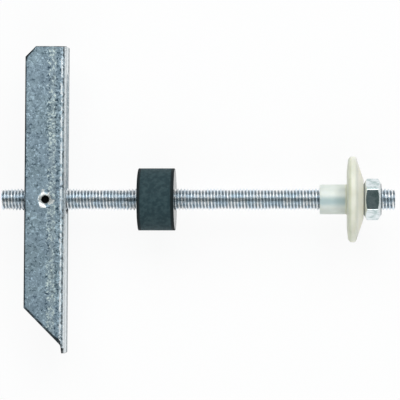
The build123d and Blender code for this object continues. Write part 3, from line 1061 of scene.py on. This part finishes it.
def toggle_channel():
    """The folded sheet as an outer and an inner skin on one grid of section rows and key lines, joined by the
    cut edges wherever a cell has no neighbour. The cells of the slot and of the two punched places are left
    out, and a punched place is a round patch instead."""
    rng = np.random.default_rng(SEED)
    outer_half, inner_half, nose_from, patch = channel_rows()
    last_row = 2 * len(outer_half) - 2
    patches = (patch, (last_row - patch[1], last_row - patch[0]))
    skins = []
    for half in (outer_half, inner_half):
        y, marks, is_nose = channel_lines(half, nose_from)
        x, z = both_sides(half[:, :1]), both_sides(half[:, 1:])
        z[len(half):] *= -1
        skins.append(np.stack(np.broadcast_arrays(x, both_sides(y), z), axis=-1))
    columns = skins[0].shape[1]
    apart = skins[0].shape[0] * columns
    points = np.concatenate([skin.reshape(-1, 3) for skin in skins])
    there, punched = channel_cells(skins[0][:, 0, 2], both_sides(is_nose), marks, patches)
    plain = cell_quads(there & ~punched, columns)
    faces = [plain, (plain + apart)[:, ::-1], cut_edge_walls(cell_quads(there, columns), apart)]

    groups = [points]
    for rows in patches:
        row, column = patch_loop(rows, (marks[PATCH_LOW], marks[PATCH_HIGH]))
        number = row * columns + column
        rings = punched_place(points[number], points[number + apart], rng)
        count = sum(len(group) for group in groups)
        faces.append(grid_faces(len(rings), len(number), closed_columns=True) + count)
        groups.append(rings.reshape(-1, 3))
    faces = np.concatenate(faces)

    x, y, z = np.concatenate(groups).T
    values = finish_numbers(x, y, z)
    turned_x = x * math.cos(REST_SWING) + y * math.sin(REST_SWING)
    turned_y = y * math.cos(REST_SWING) - x * math.sin(REST_SWING)
    points = np.stack([PIVOT_X + turned_x, AXIS_Y + turned_y, AXIS_Z + z], axis=1)
    zinc = galvanised_sheet()
    piece = make_piece(
        "channel", "channel", "toggle_channel", points, faces, zinc, values
    )
    soften = piece.modifiers.new("cut_edges", "BEVEL")
    soften.width = CUT_EDGE_BEVEL
    soften.segments = 2
    soften.limit_method = "ANGLE"
    soften.angle_limit = math.radians(CUT_EDGE_DEG)


threaded_rod()
hex_nut()
rubber_collar()
flanged_bush()
toggle_channel()

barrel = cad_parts["pivot_nut"]
barrel.material_slots[0].material = barrel_zinc()


# Camera, light and floor


def camera():
    """The camera at the photograph's angle: its lens makes one pixel METRES_PER_PIXEL at the aim."""
    place = CAMERA_FOOT + Vector((0, 0, CAMERA_HEIGHT))
    view = CAMERA_AIM - place
    data = bpy.data.cameras.new("camera")
    data.sensor_width = SENSOR
    data.lens = SENSOR * view.length / (METRES_PER_PIXEL * FRAME_PIXELS)
    data.clip_end = CAMERA_REACH
    back = -view.normalized()
    right = Vector((0, 1, 0)).cross(back).normalized()
    up = back.cross(right)
    turn = Matrix((right, up, back)).transposed().to_4x4()
    obj = bpy.data.objects.new("camera", data)
    obj.matrix_world = Matrix.Translation(place) @ turn
    bpy.context.collection.objects.link(obj)
    bpy.context.scene.camera = obj


def area_light(name, place, size, power):
    """A soft rectangular lamp at a place, turned towards the origin."""
    data = bpy.data.lights.new(name, "AREA")
    data.shape = "RECTANGLE"
    data.size, data.size_y = size
    data.energy = power
    obj = bpy.data.objects.new(name, data)
    obj.location = place
    obj.rotation_euler = (Vector() - Vector(place)).to_track_quat("-Z", "Y").to_euler()
    bpy.context.collection.objects.link(obj)


def seen_directly(tree):
    """1 for rays from the camera, from mirrors and through glass, else 0."""
    path = node(tree, "ShaderNodeLightPath")
    first = math_node(tree, "MAXIMUM", path.outputs["Is Camera Ray"], path.outputs["Is Glossy Ray"])
    return math_node(tree, "MAXIMUM", first, path.outputs["Is Transmission Ray"])


def white_paper():
    """Matt white that rays from the camera, mirrors and glass see a part of as plain white."""
    material = bpy.data.materials.new("paper")
    material.use_nodes = True
    tree = material.node_tree
    tree.nodes.clear()
    paper = node(tree, "ShaderNodeBsdfDiffuse")
    put(tree, paper.inputs["Color"], PAPER)
    white = node(tree, "ShaderNodeEmission")
    put(tree, white.inputs["Color"], WHITE)
    mix = node(tree, "ShaderNodeMixShader")
    put(tree, mix.inputs["Fac"], times(tree, seen_directly(tree), FLOOR_WHITE_SHARE))
    put(tree, mix.inputs[1], paper.outputs[0])
    put(tree, mix.inputs[2], white.outputs[0])
    put(tree, node(tree, "ShaderNodeOutputMaterial").inputs["Surface"], mix.outputs[0])
    return material


def floor():
    """A round white sheet under the object, flat to FLOOR_FLAT_R and rising from there to its rim by
    height * share^2 * (3 - 2 share) of the way out. It takes the light and the object's shadow."""
    share = np.linspace(0, 1, FLOOR_RINGS)
    radius = np.append(0.0, FLOOR_FLAT_R + (FLOOR_RIM_R - FLOOR_FLAT_R) * share)
    height = np.append(0.0, FLOOR_RIM_HEIGHT * share**2 * (3 - 2 * share))
    angle = around(FLOOR_SIDES)
    circle = np.stack([np.cos(angle), np.sin(angle), np.zeros_like(angle)], axis=-1)
    points = radius[:, None, None] * circle[None] + height[:, None, None] * np.array([0, 0, 1])
    faces = grid_faces(len(radius), len(angle), closed_columns=True)
    mesh = smooth_mesh("floor", points, faces, {})
    if mesh.polygons[0].normal.z < 0:
        mesh.flip_normals()
    mesh.materials.append(white_paper())
    sheet = bpy.data.objects.new("floor", mesh)
    bpy.context.collection.objects.link(sheet)


def room():
    """An even dim room above the floor."""
    world = bpy.data.worlds.new("room")
    world.use_nodes = True
    world.node_tree.nodes["Background"].inputs["Color"].default_value = (*ROOM_COLOUR, 1)
    bpy.context.scene.world = world


camera()
for lamp in LAMPS:
    area_light(*lamp)
floor()
room()

bpy.context.scene.view_settings.view_transform = "Standard"
